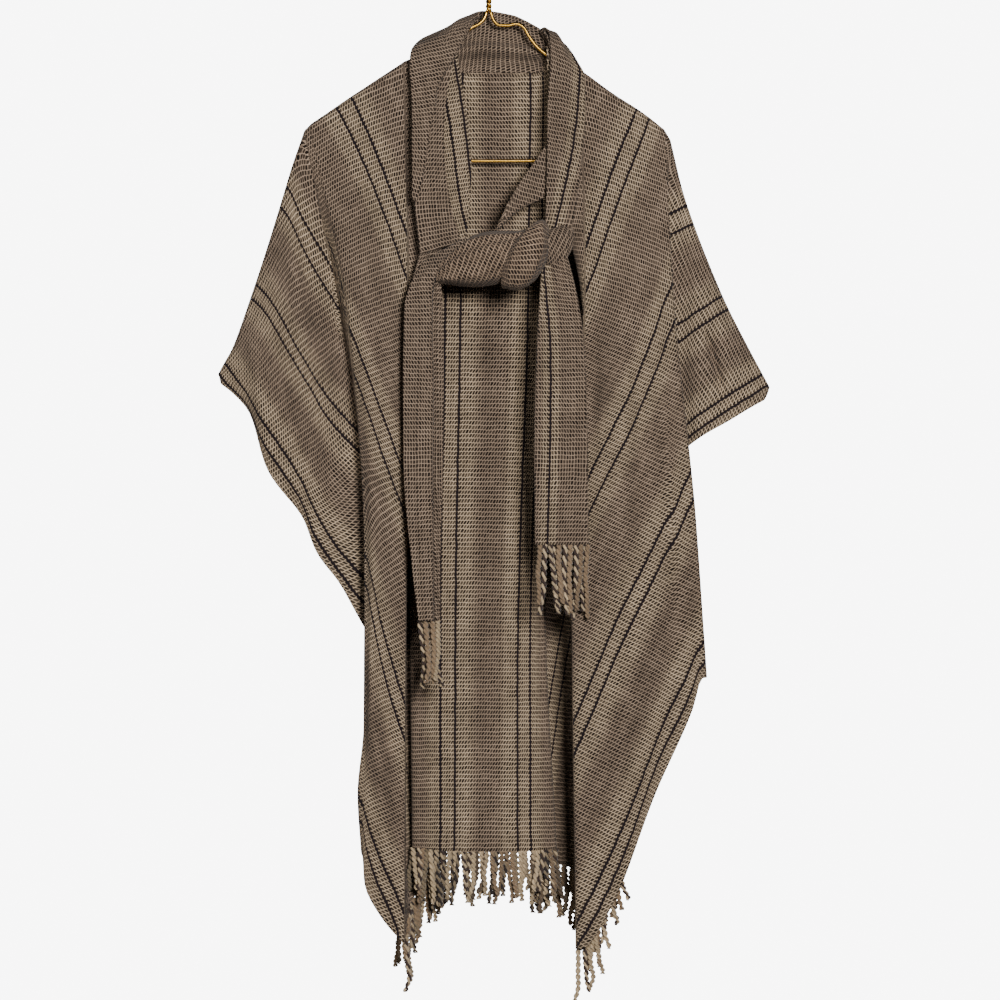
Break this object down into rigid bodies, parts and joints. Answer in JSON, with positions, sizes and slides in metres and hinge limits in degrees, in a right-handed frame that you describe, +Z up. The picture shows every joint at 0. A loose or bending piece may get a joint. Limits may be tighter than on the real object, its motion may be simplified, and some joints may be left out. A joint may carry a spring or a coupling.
{
  "type": "woven wool poncho wrap with knotted scarf collar on a wire hanger",
  "caption": "Open-front striped woven poncho wrap with a knotted scarf collar and fringed ends, hanging on a metal wire hanger.",
  "frame": {"origin": "the hanger hook's seat: the top inside its curve, where a rail carries the hanger", "axes": "+X to the right as seen from the front, +Y to the back, +Z up; the garment's front faces -Y and the hanger's plane is y = 0"},
  "size_m": [0.6458, 0.1518, 1.247],
  "materials": {
    "woven_wool": "coarse cream, taupe and brown plain weave with thin navy-black stripes along the cloth",
    "gold_wire": "polished gold-coloured wire"
  },
  "bodies": {
    "root": {"front_left_panel": "woven_wool", "front_right_panel": "woven_wool", "back_panel": "woven_wool", "fringe_front_left_hem": "woven_wool", "fringe_front_right_hem": "woven_wool", "fringe_back_hem": "woven_wool", "scarf_back_neck": "woven_wool", "scarf_left_strip": "woven_wool", "scarf_right_strip": "woven_wool", "scarf_right_underlap": "woven_wool", "scarf_knot_wrap": "woven_wool", "scarf_knot_loop": "woven_wool", "scarf_left_tail": "woven_wool", "scarf_right_tail": "woven_wool", "fringe_left_tail": "woven_wool", "fringe_right_tail": "woven_wool", "hanger_hook": "gold_wire", "hanger_neck": "gold_wire", "hanger_left_arm": "gold_wire", "hanger_right_arm": "gold_wire", "hanger_bar": "gold_wire"}
  },
  "joints": []
}
